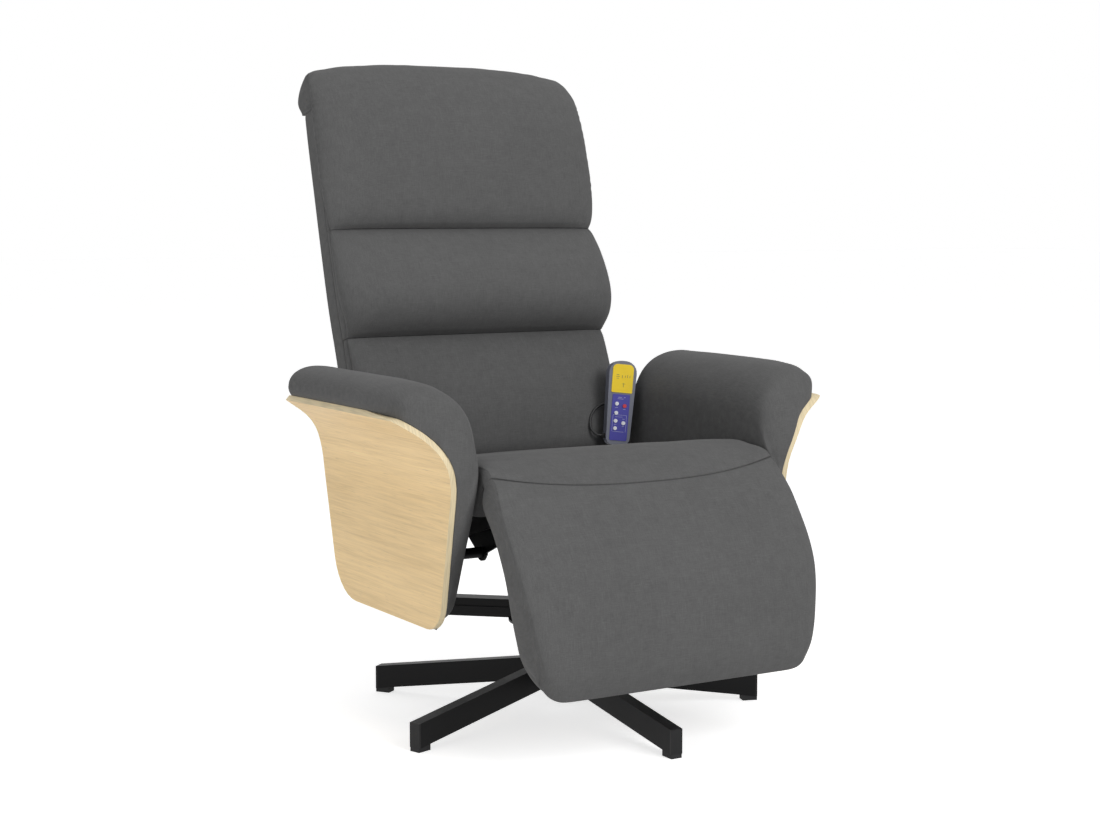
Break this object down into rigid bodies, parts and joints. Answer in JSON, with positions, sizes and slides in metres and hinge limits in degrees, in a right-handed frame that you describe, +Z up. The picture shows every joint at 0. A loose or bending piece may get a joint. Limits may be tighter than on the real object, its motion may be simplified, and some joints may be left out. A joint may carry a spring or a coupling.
{
  "type": "recliner armchair",
  "caption": "Reclining armchair with a legrest that rises as the back leans, bentwood-shelled arms, a five-leg swivel base and a wired massage handset.",
  "frame": {"origin": "on the swivel axis at the floor", "axes": "+Z up along the swivel axis, -Y is the way the sitter faces, +X is the sitter's left"},
  "size_m": [0.768, 0.8055, 1.0329],
  "materials": {
    "base_steel": "satin",
    "black_steel": "satin",
    "bright_steel": "satin",
    "black_plastic": "matte",
    "glide_rubber": "matte",
    "white_nylon": "satin",
    "plywood": "raw",
    "oak_veneer": "satin lacquer",
    "grey_fabric": "woven",
    "motor_steel": "satin",
    "handset_plastic": "matte",
    "display_yellow": "gloss",
    "keypad_blue": "gloss",
    "button_white": "satin",
    "button_red": "satin",
    "circuit_board": "satin",
    "cord_rubber": "satin",
    "weight_brass": "satin"
  },
  "bodies": {
    "base": {"star_base": "base_steel", "leg_end_caps": "black_plastic", "foot_glides": "glide_rubber", "swivel_bushes": "white_nylon"},
    "seat_unit": {"swivel_spindle": "bright_steel", "spindle_retainer": "bright_steel", "swivel_plate": "black_steel", "spider_frame": "black_steel", "seat_frame": "black_steel", "seat_side_plate_left": "black_steel", "seat_side_plate_right": "black_steel", "seat_board": "plywood", "seat_cushion": "grey_fabric", "arm_shell_left": "oak_veneer", "arm_shell_right": "oak_veneer", "arm_board_left": "plywood", "arm_board_right": "plywood", "arm_pad_left": "grey_fabric", "arm_pad_right": "grey_fabric", "arm_spacers": "black_steel", "arm_bolts": "black_steel", "back_pivot_pins": "bright_steel", "legrest_pivot_pins": "bright_steel", "pivot_washers": "white_nylon", "control_box": "black_plastic", "control_box_cover": "black_plastic", "power_inlet": "black_plastic", "seat_motor_housings": "motor_steel", "handset_back_shell": "handset_plastic", "handset_front_shell": "handset_plastic", "handset_display": "display_yellow", "handset_keypad": "keypad_blue", "handset_circuit_board": "circuit_board", "handset_gland": "glide_rubber", "handset_cord": "cord_rubber"},
    "backrest": {"back_frame": "black_steel", "back_hinge_plates": "black_steel", "back_board": "plywood", "back_cover": "grey_fabric", "back_cushion_lower": "grey_fabric", "back_cushion_middle": "grey_fabric", "back_cushion_head": "grey_fabric", "back_motor_housings": "motor_steel", "rear_link_pins": "bright_steel"},
    "legrest": {"legrest_board": "plywood", "legrest_pad": "grey_fabric", "legrest_cranks": "black_steel", "front_link_pins": "bright_steel"},
    "link_rods": {"link_rods": "black_steel"},
    "button_power": {"button_power": "button_red"},
    "button_back_upper": {"button_back_upper": "button_white"},
    "button_back_lower": {"button_back_lower": "button_white"},
    "button_seat": {"button_seat": "button_white"},
    "button_speed": {"button_speed": "button_white"},
    "button_timer": {"button_timer": "button_white"},
    "rotor_back_left": {"rotor_back_left": "weight_brass"},
    "rotor_back_right": {"rotor_back_right": "weight_brass"},
    "rotor_seat_left": {"rotor_seat_left": "weight_brass"},
    "rotor_seat_right": {"rotor_seat_right": "weight_brass"}
  },
  "joints": [
    {"name": "swivel", "type": "hinge", "parent": "base", "child": "seat_unit", "pos_m": [0, 0, 0], "axis": [0, 0, 1], "continuous": true},
    {"name": "back_recline", "type": "hinge", "parent": "seat_unit", "child": "backrest", "pos_m": [0, 0.205, 0.345], "axis": [-1, 0, 0], "range_deg": [0, 30]},
    {"name": "legrest_raise", "type": "hinge", "parent": "seat_unit", "child": "legrest", "pos_m": [0, -0.208, 0.402], "axis": [-1, 0, 0], "range_deg": [0, 60]},
    {"name": "link_swing", "type": "hinge", "parent": "backrest", "child": "link_rods", "pos_m": [0, 0.237, 0.22557], "axis": [-1, 0, 0], "range_deg": [-30, 0]},
    {"name": "button_power_press", "type": "slide", "parent": "seat_unit", "child": "button_power", "axis": [0.3299, 0.9383, -0.104], "range_m": [0, 0.001], "stiffness_N_per_m": 400, "springref_m": -0.001},
    {"name": "button_back_upper_press", "type": "slide", "parent": "seat_unit", "child": "button_back_upper", "axis": [0.3299, 0.9383, -0.104], "range_m": [0, 0.001], "stiffness_N_per_m": 400, "springref_m": -0.001},
    {"name": "button_back_lower_press", "type": "slide", "parent": "seat_unit", "child": "button_back_lower", "axis": [0.3299, 0.9383, -0.104], "range_m": [0, 0.001], "stiffness_N_per_m": 400, "springref_m": -0.001},
    {"name": "button_seat_press", "type": "slide", "parent": "seat_unit", "child": "button_seat", "axis": [0.3299, 0.9383, -0.104], "range_m": [0, 0.001], "stiffness_N_per_m": 400, "springref_m": -0.001},
    {"name": "button_speed_press", "type": "slide", "parent": "seat_unit", "child": "button_speed", "axis": [0.3299, 0.9383, -0.104], "range_m": [0, 0.001], "stiffness_N_per_m": 400, "springref_m": -0.001},
    {"name": "button_timer_press", "type": "slide", "parent": "seat_unit", "child": "button_timer", "axis": [0.3299, 0.9383, -0.104], "range_m": [0, 0.001], "stiffness_N_per_m": 400, "springref_m": -0.001},
    {"name": "rotor_back_left_spin", "type": "hinge", "parent": "backrest", "child": "rotor_back_left", "pos_m": [-0.095, 0.28412, 0.5205], "axis": [1, 0, 0], "continuous": true},
    {"name": "rotor_back_right_spin", "type": "hinge", "parent": "backrest", "child": "rotor_back_right", "pos_m": [0.095, 0.28412, 0.5205], "axis": [1, 0, 0], "continuous": true},
    {"name": "rotor_seat_left_spin", "type": "hinge", "parent": "seat_unit", "child": "rotor_seat_left", "pos_m": [-0.105, -0.075, 0.324], "axis": [1, 0, 0], "continuous": true},
    {"name": "rotor_seat_right_spin", "type": "hinge", "parent": "seat_unit", "child": "rotor_seat_right", "pos_m": [0.105, -0.075, 0.324], "axis": [1, 0, 0], "continuous": true}
  ],
  "couplings": [
    {"joint": "legrest_raise", "follows": "back_recline", "ratio": 2},
    {"joint": "link_swing", "follows": "back_recline", "ratio": -1}
  ]
}
